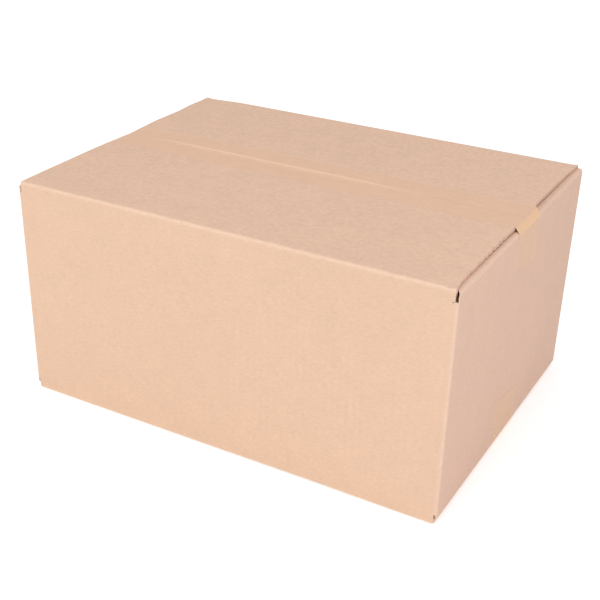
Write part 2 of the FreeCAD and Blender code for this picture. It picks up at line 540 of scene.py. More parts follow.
@dataclass
class CartonSheet:
    """The folded sheet of board: four panels, eight flaps, corner slots and the glued tab.

    The foot's curve runs along X. The other curves and the notches run along Y.
    """

    sizes: BoxSizes
    bow: TopBow
    handling: Sequence[Waves | LeftEnd]
    fold_segments: int = 7
    corner_segments: int = 4
    grid: float = 8.0 * MM
    flap_parts: int = 20
    end_taper: float = 0.85
    taper_middle: float = 100.0 * MM
    flap_depth: float = 1.5 * MM
    flap_root: float = 195.6 * MM
    crest_rise: float = 1.3 * MM
    front_crest: Curve = in_mm((-145, 0.8), (-110, 0.35), (-60, 0.2), unit=1.0)
    back_crest: Curve = in_mm((100, 0.0), (142, 0.6), unit=1.0)
    foot_bow: float = 1.1 * MM
    foot_height: float = 12.0 * MM
    foot_curve: Curve = in_mm(
        (-190, 0.0), (-60, 0.3), (95, 1.0), (160, 0.35), (190, 0.5), unit=1.0
    )
    front_end: Curve = in_mm(
        (-145.5, 0.0),
        (-141, 0.8),
        (-129, 2.0),
        (-117, 2.3),
        (-100, 2.1),
        (-80, 2.2),
        (-34, 2.2),
        (-24, 1.7),
        (3, 1.7),
    )
    back_end: Curve = in_mm((4, 1.7), (24, 1.9), (31, 3.9), (110, 3.9), (145.5, 2.3))
    notches: Curve = in_mm(
        (-45.5, 1.8),
        (-52.0, 1.0),
        (-66.5, 2.2),
        (-75.0, 0.9),
        (-83.5, 2.0),
        (-96.0, 1.6),
        (-112.0, 0.9),
    )
    tear_seed: int = 7
    tear_ragged: float = 0.2
    tear_pitch: float = 1.2 * MM
    tear_reach: float = 1.7 * MM
    end_depth: float = 5.8 * MM
    liner_edge: float = 0.28 * MM
    back_recess: float = 3.4 * MM
    front_recess: float = 1.6 * MM
    fray: float = 0.5 * MM
    fray_seed: int = 11
    shade_depth: float = 9.0 * MM
    shade_width: float = 12.0 * MM
    shade_levels: Point = (2.0 * MM, 3.2 * MM)
    slot_reach: Point = (6.0 * MM, 2.0 * MM)

    def build(
        self,
        side: bpy.types.Material,
        edge: bpy.types.Material,
        end: bpy.types.Material,
        shade: bpy.types.Material,
    ) -> bpy.types.Object:
        """Makes the sheet.

        Args:
            side: finish of the side panels and their flaps.
            edge: finish of the cut edges.
            end: finish of the end panels, whose paper is the side paper painted a little darker as
                shade.
            shade: painted shade, a near-black board finish on the slots' raw edges and on
                what shows through one.

        Returns:
            The finished piece.
        """
        sizes = self.sizes
        low = Vector((-sizes.half_length, -sizes.half_width, sizes.floor))
        high = Vector((sizes.half_length, sizes.half_width, sizes.top))
        bench = Bench.start("carton_sheet", low, high)
        with bench.editing():
            bench.drop(lambda face: abs(face.normal.z) > FACING)
            self.fold_joint(bench)
            self.round_corners(bench)
            self.cut_slots(bench)
            self.fold_flaps(bench)
            self.divide(bench)
        for shaping in self.handling:
            shaping.apply(bench)
        self.shape_flaps(bench)
        self.tear_end(bench)
        bench.thicken(sizes.board, edge_slot=Slot.EDGE)
        self.sink_core(bench)
        self.dress_ends(bench)
        return bench.finish(side, edge, end, shade)

    def fold_joint(self, bench: Bench) -> None:
        """Turns the left end panel in under the back panel, as the glued tab."""
        sizes = self.sizes
        raw_edge = -sizes.half_length + sizes.corner_radius + sizes.raw_edge
        inside = sizes.joint_inside
        bench.cut(Axis.Y, inside, lambda face: face.normal.x < -FACING)
        bench.drop(lambda face: face.normal.x < -FACING and face.calc_center_median().y > inside)
        bench.cut(Axis.X, raw_edge, lambda face: face.normal.y > FACING)
        bench.drop(lambda face: face.normal.y > FACING and face.calc_center_median().x < raw_edge)
        bench.pick_line((Axis.X, -sizes.half_length), (Axis.Y, inside))
        bench.draw_out((sizes.tab_width, 0, 0))

    def round_corners(self, bench: Bench) -> None:
        """Rounds the four upright corners."""
        sizes = self.sizes
        corners = (
            (sizes.half_length, sizes.half_width),
            (sizes.half_length, -sizes.half_width),
            (-sizes.half_length, -sizes.half_width),
            (-sizes.half_length, sizes.joint_inside),
        )
        for x, y in corners:
            bench.pick_line((Axis.X, x), (Axis.Y, y))
            bench.round_off(sizes.corner_radius, self.corner_segments)

    def cut_slots(self, bench: Bench) -> None:
        """Cuts the slot at each end of each corner, and sets the end panels a board lower."""
        sizes = self.sizes
        low_foot = sizes.floor + sizes.slot_foot
        high_foot = sizes.top - sizes.slot_foot
        for place in (low_foot, high_foot):
            bench.cut(Axis.Z, place)
        for sign in (-1, 1):
            bench.cut(Axis.X, sign * sizes.flap_end)

        def in_slot(face: bmesh.types.BMFace) -> bool:
            """True for the parts of the walls that the slots take away."""
            centre = face.calc_center_median()
            past_foot = centre.z < low_foot or centre.z > high_foot
            faces_side = abs(face.normal.y) > abs(face.normal.x)
            in_tab = abs(centre.y - sizes.joint_inside) < LOOSE
            return past_foot and faces_side and (abs(centre.x) > sizes.flap_end or in_tab)

        bench.drop(in_slot)
        low_fold = sizes.inner_floor + sizes.end_radius
        high_fold = sizes.inner_top - sizes.end_radius

        def on_end(face: bmesh.types.BMFace) -> bool:
            """True for the end panels with their halves of the rounded corners."""
            return abs(face.normal.x) > abs(face.normal.y)

        for place in (low_fold, high_fold):
            bench.cut(Axis.Z, place, on_end)
        bench.drop(
            lambda face: on_end(face) and not low_fold < face.calc_center_median().z < high_fold
        )

    def fold_flaps(self, bench: Bench) -> None:
        """Draws the eight flaps out of the panels' edges and rounds their folds."""
        sizes = self.sizes
        folds = []
        for sign in (-1, 1):
            side = sign * sizes.half_width
            for height, seam in ((sizes.floor, sizes.bottom_seam), (sizes.top, sizes.top_seam)):
                flap_edge = seam + sign * sizes.seam_gap / 2
                folds.append(((Axis.Y, side), (Axis.Z, height), (0, flap_edge - side, 0)))
        for place, height, move in folds:
            bench.pick_line(place, height)
            bench.draw_out(move)
        for place, height, _ in folds:
            bench.pick_line(place, height)
            bench.round_off(sizes.crease_radius, self.fold_segments)
        for sign in (-1, 1):
            self.turn_end(bench, sign, sizes.inner_top, 1)
            self.turn_end(bench, sign, sizes.inner_floor, -1)

    def turn_end(self, bench: Bench, sign: int, height: float, outward: int) -> None:
        """Draws an end panel's edge round its fold and on into the inner flap.

        Args:
            bench: the bench with the sheet.
            sign: 1 for the right end, -1 for the left.
            height: level of the inner flap's outer face.
            outward: 1 for the top, -1 for the bottom.
        """
        sizes = self.sizes
        radius = sizes.end_radius
        start = height - outward * radius
        centre_x = sizes.half_length - radius
        path = [(sizes.half_length, start)]
        for step in range(1, self.fold_segments + 1):
            turn = math.pi / 2 * step / self.fold_segments
            across, up = radius * math.cos(turn), outward * radius * math.sin(turn)
            path.append((centre_x + across, start + up))
        for reach in (sizes.inner_flap / self.flap_parts, sizes.inner_flap):
            path.append((sizes.half_length - reach, height))

        def on_edge(edge: bmesh.types.BMEdge) -> bool:
            """True for the panel's free edge at the start of its fold."""
            return edge.is_boundary and all(
                abs(point.co.z - start) < TIGHT and sign * point.co.x > sizes.flap_end
                for point in edge.verts
            )

        bench.pick(Part.EDGE, on_edge)
        for number, ((x0, z0), (x1, z1)) in enumerate(zip(path, path[1:])):
            bench.draw_out((sign * (x1 - x0), 0, z1 - z0))
            if number < self.fold_segments:
                taper = self.end_taper / self.fold_segments
                share = (sizes.inner_side / sizes.half_width) ** taper
                middle = (0, self.taper_middle, 0)
                bpy.ops.transform.resize(value=(1, share, 1), center_override=middle)

    def divide(self, bench: Bench) -> None:
        """Divides the panels and flaps evenly, and the torn end more finely."""
        sizes = self.sizes
        margin = 2 * sizes.fold_radius
        spans = (
            (Axis.X, -sizes.flap_end + margin, sizes.flap_end - margin),
            (Axis.Y, -sizes.half_width + margin, sizes.half_width - margin),
            (Axis.Z, sizes.floor + sizes.slot_foot + margin, sizes.top - sizes.slot_foot - margin),
        )
        for axis, start, end in spans:
            count = round((end - start) / self.grid)
            for step in range(count + 1):
                bench.cut(axis, start + (end - start) * step / count)
        front = sizes.top_seam - sizes.tape_width / 2
        place = -sizes.half_width + sizes.fold_radius
        while place < front:
            bench.cut(
                Axis.Y,
                place,
                lambda face: face.calc_center_median().x > sizes.flap_end - margin
                and face.calc_center_median().z > sizes.top - LOOSE,
            )
            place += self.tear_pitch

    def shape_flaps(self, bench: Bench) -> None:
        """Bows the top flaps up to the seam, swells the end folds and lifts the front foot."""
        sizes = self.sizes
        bow = self.bow
        reach = sizes.seam_rise

        def flap_share(point: Vector) -> float:
            """Share of the full rise on the two outer top flaps."""
            if point.z < sizes.top - self.flap_depth or abs(point.x) > sizes.flap_end + LOOSE:
                return 0.0
            lift = bow.front if point.y < sizes.top_seam else bow.back
            return lift(point.x, point.y) / reach

        def crest_share(point: Vector) -> float:
            """Share of the swelling on the end panels' top folds."""
            off_fold = abs(point.z - sizes.inner_top) > sizes.end_radius + LOOSE
            if off_fold or abs(point.x) < self.flap_root:
                return 0.0
            crest = self.front_crest if point.y < sizes.top_seam else self.back_crest
            return eased(crest, point.y)

        def foot_share(point: Vector) -> float:
            """Share of the lift along the middle of the front panel's foot."""
            behind = point.y > -sizes.half_width + 2 * sizes.fold_radius
            if behind or point.z > self.foot_height:
                return 0.0
            low = eased(((0.0, 1.0), (self.foot_height, 0.0)), point.z)
            return eased(self.foot_curve, point.x) * low

        bench.push(Axis.Z, reach, flap_share)
        bench.push(Axis.Z, self.crest_rise, crest_share)
        bench.push(Axis.Z, self.foot_bow, foot_share)

    def tear_end(self, bench: Bench) -> None:
        """Draws in the cut right end of the top flaps, and roughens the front one."""
        sizes = self.sizes
        rng = random.Random(self.tear_seed)
        rough: dict[int, float] = {}
        reach = self.tear_reach + max(draw for _, draw in self.back_end)

        def tear_share(point: Vector) -> float:
            """Share of the reach at a point of the cut ends, deepest in the notches."""
            if abs(point.x - sizes.flap_end) > SLACK or point.z < sizes.top - self.flap_depth:
                return 0.0
            if point.y > sizes.top_seam:
                return eased(self.back_end, point.y) / reach
            drawn = eased(self.front_end, point.y)
            if point.y > sizes.top_seam - sizes.tape_width / 2:
                return drawn / reach
            step = round(point.y / self.tear_pitch)
            share = rough.setdefault(step, rng.uniform(0.0, self.tear_ragged))
            for place, half in self.notches:
                share = max(share, eased(((0.0, 1.0), (half, 0.0)), abs(point.y - place)))
            return (drawn + share * self.tear_reach) / reach

        bench.push(Axis.X, -reach, tear_share)

    def sink_core(self, bench: Bench) -> None:
        """Sets the core back between the paper faces at the outer flaps' cut ends."""
        sizes = self.sizes
        for sign in (-1, 1):
            for back in (False, True):

                def cut_end(face: bmesh.types.BMFace) -> bool:
                    """True for the cut end of one half's outer flaps and slots."""
                    centre = face.calc_center_median()
                    place = sign * centre.x - sizes.flap_end
                    near = -self.end_depth < place < LOOSE and sign * face.normal.x > FACING_CUT
                    return near and (centre.y > 0) == back and face.material_index == Slot.EDGE

                depth = self.back_recess if back else self.front_recess
                seed = self.fray_seed + sign
                with bench.editing():
                    bench.pick(Part.FACE, cut_end)
                    bpy.ops.mesh.inset(thickness=self.liner_edge, use_even_offset=True)
                    bench.draw_out((-sign * depth, 0, 0))
                    if not back:
                        bpy.ops.mesh.select_less(use_face_step=False)
                        bpy.ops.transform.vertex_random(offset=self.fray, seed=seed)

    def dress_ends(self, bench: Bench) -> None:
        """Gives the end panels their finish: the side paper painted a little darker, as shade.

        The slots' raw edges, and the inner faces seen through the near corner's top slot, get
        the painted shade, a near-black board finish.
        """
        sizes = self.sizes
        centre = Vector((0, 0, sizes.middle))
        below_foot, below_top = self.shade_levels
        slot_low = sizes.top - sizes.slot_foot - below_foot
        slot_high = sizes.top - below_top
        along, across = self.slot_reach
        for face in bench.piece.data.polygons:
            x, y, z = face.center
            behind_slot = x > sizes.flap_end - self.shade_depth
            behind_slot = behind_slot and y < self.shade_width - sizes.half_width
            faces_in = face.normal.dot(face.center - centre) < 0
            # Painted shade on the inner faces seen through the near corner's top slot.
            if behind_slot and slot_low < z < slot_high and faces_in:
                face.material_index = Slot.SHADE
            at_end = abs(x) > sizes.flap_end + SLACK or abs(face.normal.x) > FACING_END
            in_slot = abs(x) > sizes.flap_end - along and abs(y) > sizes.inner_side - across
            if face.material_index == Slot.SIDE and at_end:
                face.material_index = Slot.END
            # Painted shade on the slots' raw edges.
            elif face.material_index == Slot.EDGE and in_slot:
                face.material_index = Slot.SHADE


@dataclass
class TapeStrip:
    """A strip of clear tape over a seam, with a tail down each end panel.

    The top strip lies on the bowed flaps. The bottom one has no bow.
    """

    name: str
    sizes: BoxSizes
    handling: Sequence[Waves | LeftEnd]
    bow: TopBow | None
    divisions: tuple[int, int] = (120, 20)
    tail_turns: Sequence[float] = (42, 28, 14, 0)
    tail_rows: int = 12
    swell: float = 0.65 * MM
    break_place: float = 195.9 * MM
    film_share: float = 0.8
    tail_root: float = 3.0 * MM

    @property
    def outward(self) -> int:
        """1 for the strip over the top seam, -1 for the bottom one."""
        return 1 if self.bow else -1

    @property
    def seam(self) -> float:
        """Place of the seam along Y."""
        return self.sizes.top_seam if self.bow else self.sizes.bottom_seam

    @property
    def fold_face(self) -> float:
        """Height of the inner flaps' outer face."""
        return self.sizes.inner_top if self.bow else self.sizes.inner_floor

    @property
    def tail_end(self) -> float:
        """Height where the tails end."""
        return self.sizes.top_tail_end if self.bow else self.sizes.bottom_tail_end

    def build(self, film: bpy.types.Material) -> bpy.types.Object:
        """Makes the strip.

        Args:
            film: finish of the tape.

        Returns:
            The finished piece.
        """
        sizes = self.sizes
        half = sizes.tape_width / 2
        height = (sizes.top if self.bow else sizes.floor) + self.outward * sizes.film
        low = Vector((-self.break_place, self.seam - half, height))
        high = Vector((self.break_place, self.seam + half, height))
        bench = Bench.start(self.name, low, high, self.divisions)
        for sign in (-1, 1):
            self.draw_tail(bench, sign, height)
        if not self.bow:
            with bench.editing():
                bpy.ops.mesh.select_all(action="SELECT")
                bpy.ops.mesh.flip_normals()
        for shaping in self.handling:
            shaping.apply(bench)
        self.slant_tails(bench)
        if self.bow:
            self.lift(bench, self.bow)
        bench.thicken(self.film_share * sizes.film)
        return bench.finish(film)

    def draw_tail(self, bench: Bench, sign: int, height: float) -> None:
        """Draws one end of the strip over the gap, round the fold and along the end panel."""
        sizes = self.sizes
        radius = sizes.end_radius + sizes.film
        centre_x = sizes.half_length - sizes.end_radius
        centre_z = self.fold_face - self.outward * sizes.end_radius
        swell = self.swell if self.bow else 0.0
        path = [(self.break_place, height)]
        for angle in self.tail_turns:
            turn = math.radians(angle)
            rise = radius * math.sin(turn) + swell
            path.append((centre_x + radius * math.cos(turn), centre_z + self.outward * rise))
        start_x, start_z = path[-1]
        for row in range(1, self.tail_rows + 1):
            path.append((start_x, start_z + (self.tail_end - start_z) * row / self.tail_rows))
        with bench.editing():
            bench.pick_line((Axis.X, sign * self.break_place), (Axis.Z, height))
            for (x0, z0), (x1, z1) in zip(path, path[1:]):
                bench.draw_out((sign * (x1 - x0), 0, z1 - z0))

    def slant_tails(self, bench: Bench) -> None:
        """Draws one corner of each torn end back: the front one on top, the back one below."""
        sizes = self.sizes
        reach = abs(self.fold_face - self.tail_end) - sizes.fold_radius
        half = sizes.tape_width / 2

        def share(point: Vector) -> float:
            """Full at the drawn corner of the torn end, nothing at the fold or the other side."""
            if abs(point.x) < sizes.half_length - self.tail_root:
                return 0.0
            down = 1 - abs(point.z - self.tail_end) / reach
            side = (half - (point.y - self.seam)) / (2 * half)
            return max(0.0, down) * (side if self.bow else 1 - side)

        bench.push(Axis.Z, self.outward * sizes.tail_slant, share)

    def lift(self, bench: Bench, bow: TopBow) -> None:
        """Lays the strip on the bowed flaps."""
        sizes = self.sizes

        def share(point: Vector) -> float:
            """Share of the full rise along the strip."""
            if abs(point.x) > self.break_place + SLACK:
                return 0.0
            return bow.film(point.x, point.y) / sizes.seam_rise

        bench.push(Axis.Z, sizes.seam_rise, share)


class Graph:
    """Adds nodes to a tree and links them, so that a finish reads as a list of steps."""

    def __init__(self, tree: bpy.types.NodeTree) -> None:
        """Starts on a tree."""
        self.tree = tree

    def feed(self, socket: Socket, value: float | Sequence | Socket) -> None:
        """Gives a socket its value, or links it to the socket that has it."""
        if isinstance(value, bpy.types.NodeSocket):
            self.tree.links.new(value, socket)
        else:
            socket.default_value = value

    def node(self, kind: str, inputs: dict | None = None, **settings: object) -> bpy.types.Node:
        """Adds a node.

        Args:
            kind: the node's type name.
            inputs: socket name or number, with a value or a socket to link.
            settings: attributes of the node itself.

        Returns:
            The node.
        """
        node = self.tree.nodes.new(kind)
        for name, value in settings.items():
            setattr(node, name, value)
        for key, value in (inputs or {}).items():
            self.feed(node.inputs[key], value)
        return node

    def math(self, operation: str, *values: float | Socket, clamp: bool = False) -> Socket:
        """Adds a Math node and returns its output."""
        inputs = dict(enumerate(values))
        return self.node("ShaderNodeMath", inputs, operation=operation, use_clamp=clamp).outputs[0]

    def mix(
        self, share: float | Socket, first: Colour | Socket, second: Colour | Socket
    ) -> Socket:
        """Adds a colour Mix node and returns its output."""
        first, second = (
            colour if isinstance(colour, bpy.types.NodeSocket) else (*colour, 1)
            for colour in (first, second)
        )
        inputs = {0: share, 6: first, 7: second}
        return self.node("ShaderNodeMix", inputs, data_type="RGBA").outputs[2]

    def scaled(self, vector: Socket, scale: Sequence[float]) -> Socket:
        """Adds a Mapping node that scales a vector and returns its output."""
        return self.node("ShaderNodeMapping", {"Vector": vector, "Scale": scale}).outputs[0]

    def noise(
        self, vector: Socket, scale: float | Socket, detail: float = 2.0, roughness: float = 0.5
    ) -> Socket:
        """Adds a Noise Texture and returns its grey output, centred on a half."""
        inputs = {"Vector": vector, "Scale": scale, "Detail": detail, "Roughness": roughness}
        return self.node("ShaderNodeTexNoise", inputs).outputs["Fac"]

    def ramp(self, value: Socket, start: float | Socket, end: float | Socket) -> Socket:
        """Adds a smooth Map Range from 0 at the start to 1 at the end."""
        inputs = {"Value": value, "From Min": start, "From Max": end}
        return self.node("ShaderNodeMapRange", inputs, interpolation_type="SMOOTHSTEP").outputs[0]

    def surface(
        self, color: Socket, roughness: Socket, relief: Socket, bump: Point, specular: float
    ) -> None:
        """Feeds the shader of a material.

        Args:
            color: the base colour.
            roughness: the roughness.
            relief: height of the fine relief.
            bump: the relief's depth in metres, and its strength.
            specular: the specular level.
        """
        depth, strength = bump
        inputs = {"Height": relief, "Distance": depth, "Strength": strength}
        normal = self.node("ShaderNodeBump", inputs).outputs[0]
        shader = self.tree.nodes["Principled BSDF"].inputs
        self.feed(shader["Base Color"], color)
        self.feed(shader["Roughness"], roughness)
        self.feed(shader["Normal"], normal)
        shader["Specular IOR Level"].default_value = specular


def start_material(name: str) -> tuple[bpy.types.Material, Graph, Socket]:
    """Starts a material.

    Args:
        name: its name.

    Returns:
        The material, its graph, and the place on the object that its patterns follow.
    """
    material = bpy.data.materials.new(name)
    material.use_nodes = True
    graph = Graph(material.node_tree)
    return material, graph, graph.node("ShaderNodeTexCoord").outputs["Object"]


def new_group(
    name: str, inputs: dict[str, tuple[str, float | Sequence]], outputs: dict[str, str]
) -> tuple:
    """Starts a shader node group with named sockets.

    Args:
        name: name of the group.
        inputs: socket name, with its type and default.
        outputs: socket name, with its type.

    Returns:
        The group, its graph, and the sockets of its input node and of its output node.
    """
    group = bpy.data.node_groups.new(name, "ShaderNodeTree")
    for socket_name, (kind, default) in inputs.items():
        socket = group.interface.new_socket(name=socket_name, in_out="INPUT", socket_type=kind)
        if kind != VECTOR:
            socket.default_value = default
    for socket_name, kind in outputs.items():
        group.interface.new_socket(name=socket_name, in_out="OUTPUT", socket_type=kind)
    start = group.nodes.new("NodeGroupInput")
    end = group.nodes.new("NodeGroupOutput")
    return group, Graph(group), start.outputs, end.inputs


def build_paper_group() -> bpy.types.NodeTree:
    """Builds the kraft paper's fibres, clouds, flecks and flute lines.

    Noise scales are in cycles per metre. Each pattern adds its share to the paper's tone.

    Returns:
        The group. Flute Place is the coordinate across the flutes, in metres.
    """
    group, graph, given, result = new_group(
        "KraftPaper",
        {
            "Vector": (VECTOR, ()),
            "Flute Place": (FLOAT, 0.0),
            "Paper": (COLOR, (*SIDE_PAPER, 1)),
            "Fibre": (FLOAT, 0.1),
            "Flutes": (FLOAT, 0.006),
            "Pitch": (FLOAT, FLUTE_PITCH),
        },
        {"Color": COLOR, "Height": FLOAT, "Roughness": FLOAT},
    )
    vector = given["Vector"]
    fine = graph.noise(vector, 1100.0, detail=3.0, roughness=0.65)
    fibre = graph.noise(graph.scaled(vector, (0.3, 0.3, 1.0)), 800.0, detail=2.0)
    cloud = graph.noise(vector, 55.0, detail=3.0, roughness=0.6)
    wide = graph.noise(vector, 9.0, detail=1.0)
    turns = graph.math("DIVIDE", given["Flute Place"], given["Pitch"])
    phase = graph.math("MULTIPLY", turns, math.tau)
    drift = graph.math("MULTIPLY", graph.noise(vector, 14.0, detail=0.0), 3.0)
    patch = graph.ramp(graph.noise(vector, 7.0, detail=1.0), 0.35, 0.7)
    flute = graph.math("SINE", graph.math("ADD", phase, drift))
    flute = graph.math("MULTIPLY", flute, patch)
    fleck = graph.ramp(graph.noise(vector, 420.0, detail=2.0, roughness=0.55), 0.70, 0.78)
    pale = graph.noise(graph.scaled(vector, (0.5, 1.0, 0.5)), 520.0, detail=1.0)
    tone: float | Socket = 0.0
    for pattern, share in (
        (graph.math("SUBTRACT", fine, 0.5), given["Fibre"]),
        (graph.math("SUBTRACT", fibre, 0.5), given["Fibre"]),
        (graph.math("SUBTRACT", cloud, 0.5), 0.11),
        (graph.math("SUBTRACT", wide, 0.5), 0.05),
        (flute, given["Flutes"]),
        (fleck, -0.09),
        (graph.ramp(pale, 0.70, 0.8), 0.06),
    ):
        tone = graph.math("MULTIPLY_ADD", pattern, share, tone)
    inputs = {0: given["Paper"], "Scale": graph.math("ADD", tone, 1.0)}
    lit = graph.node("ShaderNodeVectorMath", inputs, operation="SCALE").outputs[0]
    inputs = {"Color": lit, "Saturation": graph.math("MULTIPLY_ADD", cloud, 0.03, 0.985)}
    color = graph.node("ShaderNodeHueSaturation", inputs).outputs[0]
    height = graph.math("MULTIPLY_ADD", fine, 0.35, graph.math("MULTIPLY", flute, 0.12))
    graph.feed(result["Color"], color)
    graph.feed(result["Height"], height)
    graph.feed(result["Roughness"], graph.math("MULTIPLY_ADD", fine, 0.12, 0.76))
    return group


def build_wear_and_highlight_group() -> bpy.types.NodeTree:
    """Builds the mask of worn paper and painted highlight along the edges of a box centred on
    the vector's zero.

    Returns:
        The group, whose output is 1 on an edge and 0 a reach away from it.
    """
    group, graph, given, result = new_group(
        "FoldWear",
        {
            "Vector": (VECTOR, ()),
            "Half X": (FLOAT, 0.2),
            "Half Y": (FLOAT, 0.145),
            "Half Z": (FLOAT, 0.102),
            "Reach": (FLOAT, 4.0 * MM),
        },
        {"Wear": FLOAT},
    )
    split = graph.node("ShaderNodeSeparateXYZ", {0: given["Vector"]}).outputs
    gaps = [
        graph.math("SUBTRACT", given[f"Half {axis}"], graph.math("ABSOLUTE", split[axis]))
        for axis in "XYZ"
    ]
    low = graph.math("MINIMUM", gaps[0], gaps[1])
    high = graph.math("MAXIMUM", gaps[0], gaps[1])
    middle = graph.math("MAXIMUM", low, graph.math("MINIMUM", high, gaps[2]))
    near = graph.ramp(middle, given["Reach"], 0.0)
    rough = graph.noise(given["Vector"], 130.0, detail=3.0, roughness=0.6)
    wear_and_highlight = graph.math("MULTIPLY", near, graph.math("ADD", rough, 0.3), clamp=True)
    graph.feed(result["Wear"], wear_and_highlight)
    return group


@dataclass(frozen=True)
class Mark:
    """A small speck, smudge or scratch at a place on the paper, or a spot of painted shade."""

    place: tuple[float, float, float]
    radius: float
    tint: float


MARKS = tuple(
    Mark((x * MM, y * MM, z * MM), radius * MM, tint)
    for x, y, z, radius, tint in (
        (-166.5, -145.5, 199.8, 0.9, 0.5),
        (-141.0, -145.5, 198.9, 0.8, 0.55),
        (-32.4, -144.7, 204.0, 0.9, 0.55),
        (62.5, -145.5, 200.4, 0.8, 0.55),
        (-162.8, 91.3, 204.0, 2.2, 0.86),
        (153.7, -145.5, 187.9, 1.2, 1.14),
        # Painted shade: the dark spur at the near top slot's crushed foot.
        (196.0, -145.5, 194.0, 1.1, 0.25),
    )
)


@dataclass(frozen=True)
class KraftBoard:
    """Unprinted brown paper over corrugated board, worn and with a painted highlight along its
    folds.
    """

    name: str
    run: FluteRun
    paper: Colour
    sizes: BoxSizes
    paper_group: bpy.types.NodeTree
    wear_and_highlight_group: bpy.types.NodeTree
    marks: Sequence[Mark] = ()
    # Puts the end panels' worn band, with its painted highlight, at the crest of their folds.
    folds_low: bool = False
    fibre: float = 0.23
    flutes: float = 0.007
    # Worn paper and painted highlight along the folds: their colour and share.
    rub_and_highlight: Colour = (0.80, 0.60, 0.45)
    rub_and_highlight_share: float = 0.55
    mark_share: float = 0.8
    bump: Point = (0.12 * MM, 0.6)
    specular: float = 0.25

    def build(self) -> bpy.types.Material:
        """Makes the material.

        Returns:
            The material.
        """
        material, graph, place = start_material(self.name)
        inputs = {
            "Vector": place,
            "Flute Place": graph.node("ShaderNodeSeparateXYZ", {0: place}).outputs[self.run.value],
            "Paper": (*self.paper, 1),
            "Fibre": self.fibre,
            "Flutes": self.flutes,
        }
        paper = graph.node("ShaderNodeGroup", inputs, node_tree=self.paper_group).outputs
        sizes = self.sizes
        middle = sizes.middle
        inputs = {"Vector": place, "Location": (0, 0, -middle)}
        inputs = {
            "Vector": graph.node("ShaderNodeMapping", inputs).outputs[0],
            "Half X": sizes.half_length,
            "Half Y": sizes.half_width,
            "Half Z": (sizes.inner_top if self.folds_low else sizes.top) - middle,
        }
        # Worn paper and painted highlight along the folds and edges.
        wear_and_highlight = graph.node("ShaderNodeGroup", inputs, node_tree=self.wear_and_highlight_group).outputs[0]
        share = graph.math("MULTIPLY", wear_and_highlight, self.rub_and_highlight_share)
        color = graph.mix(share, paper["Color"], self.rub_and_highlight)
        for mark in self.marks:
            color = self.add_mark(graph, place, color, mark)
        graph.surface(color, paper["Roughness"], paper["Height"], self.bump, self.specular)
        return material

    def add_mark(self, graph: Graph, place: Socket, color: Socket, mark: Mark) -> Socket:
        """Lays one mark over the paper's colour and returns the new colour."""
        inputs = {0: place, 1: mark.place}
        away = graph.node("ShaderNodeVectorMath", inputs, operation="DISTANCE").outputs["Value"]
        noise = graph.noise(place, 900.0)
        ragged = graph.math("MULTIPLY_ADD", noise, mark.radius, mark.radius * 0.5)
        share = graph.math("MULTIPLY", graph.ramp(away, ragged, 0.0), self.mark_share)
        return graph.mix(share, color, tuple(min(1.0, part * mark.tint) for part in self.paper))


@dataclass(frozen=True)
class CutBoard:
    """The raw edge of the board, where the core shows between the paper faces."""

    name: str = "cut_board"
    light: Colour = (0.54, 0.355, 0.23)
    # Painted shade of the open flutes, laid in dashes at the flute pitch.
    dark: Colour = (0.10, 0.045, 0.02)
    bump: Point = (0.3 * MM, 0.8)
    specular: float = 0.15

    def build(self) -> bpy.types.Material:
        """Makes the material.

        Returns:
            The material.
        """
        material, graph, place = start_material(self.name)
        stretched = graph.scaled(place, (1.0, 1.0, 2.5))
        fibre = graph.noise(stretched, 700.0, detail=4.0, roughness=0.7)
        # Dashes at the flute pitch, where the dark colour is painted shade of the open flutes.
        flute_shade_dash = graph.noise(graph.scaled(place, (1.0, 1.0, 0.4)), 1.0 / FLUTE_PITCH, detail=2.0)
        parts = graph.math("MULTIPLY", fibre, 0.4), graph.math("MULTIPLY", flute_shade_dash, 0.6)
        color = graph.mix(graph.ramp(graph.math("ADD", *parts), 0.42, 0.58), self.dark, self.light)
        roughness = graph.math("MULTIPLY_ADD", fibre, 0.2, 0.75)
        graph.surface(color, roughness, fibre, self.bump, self.specular)
        return material


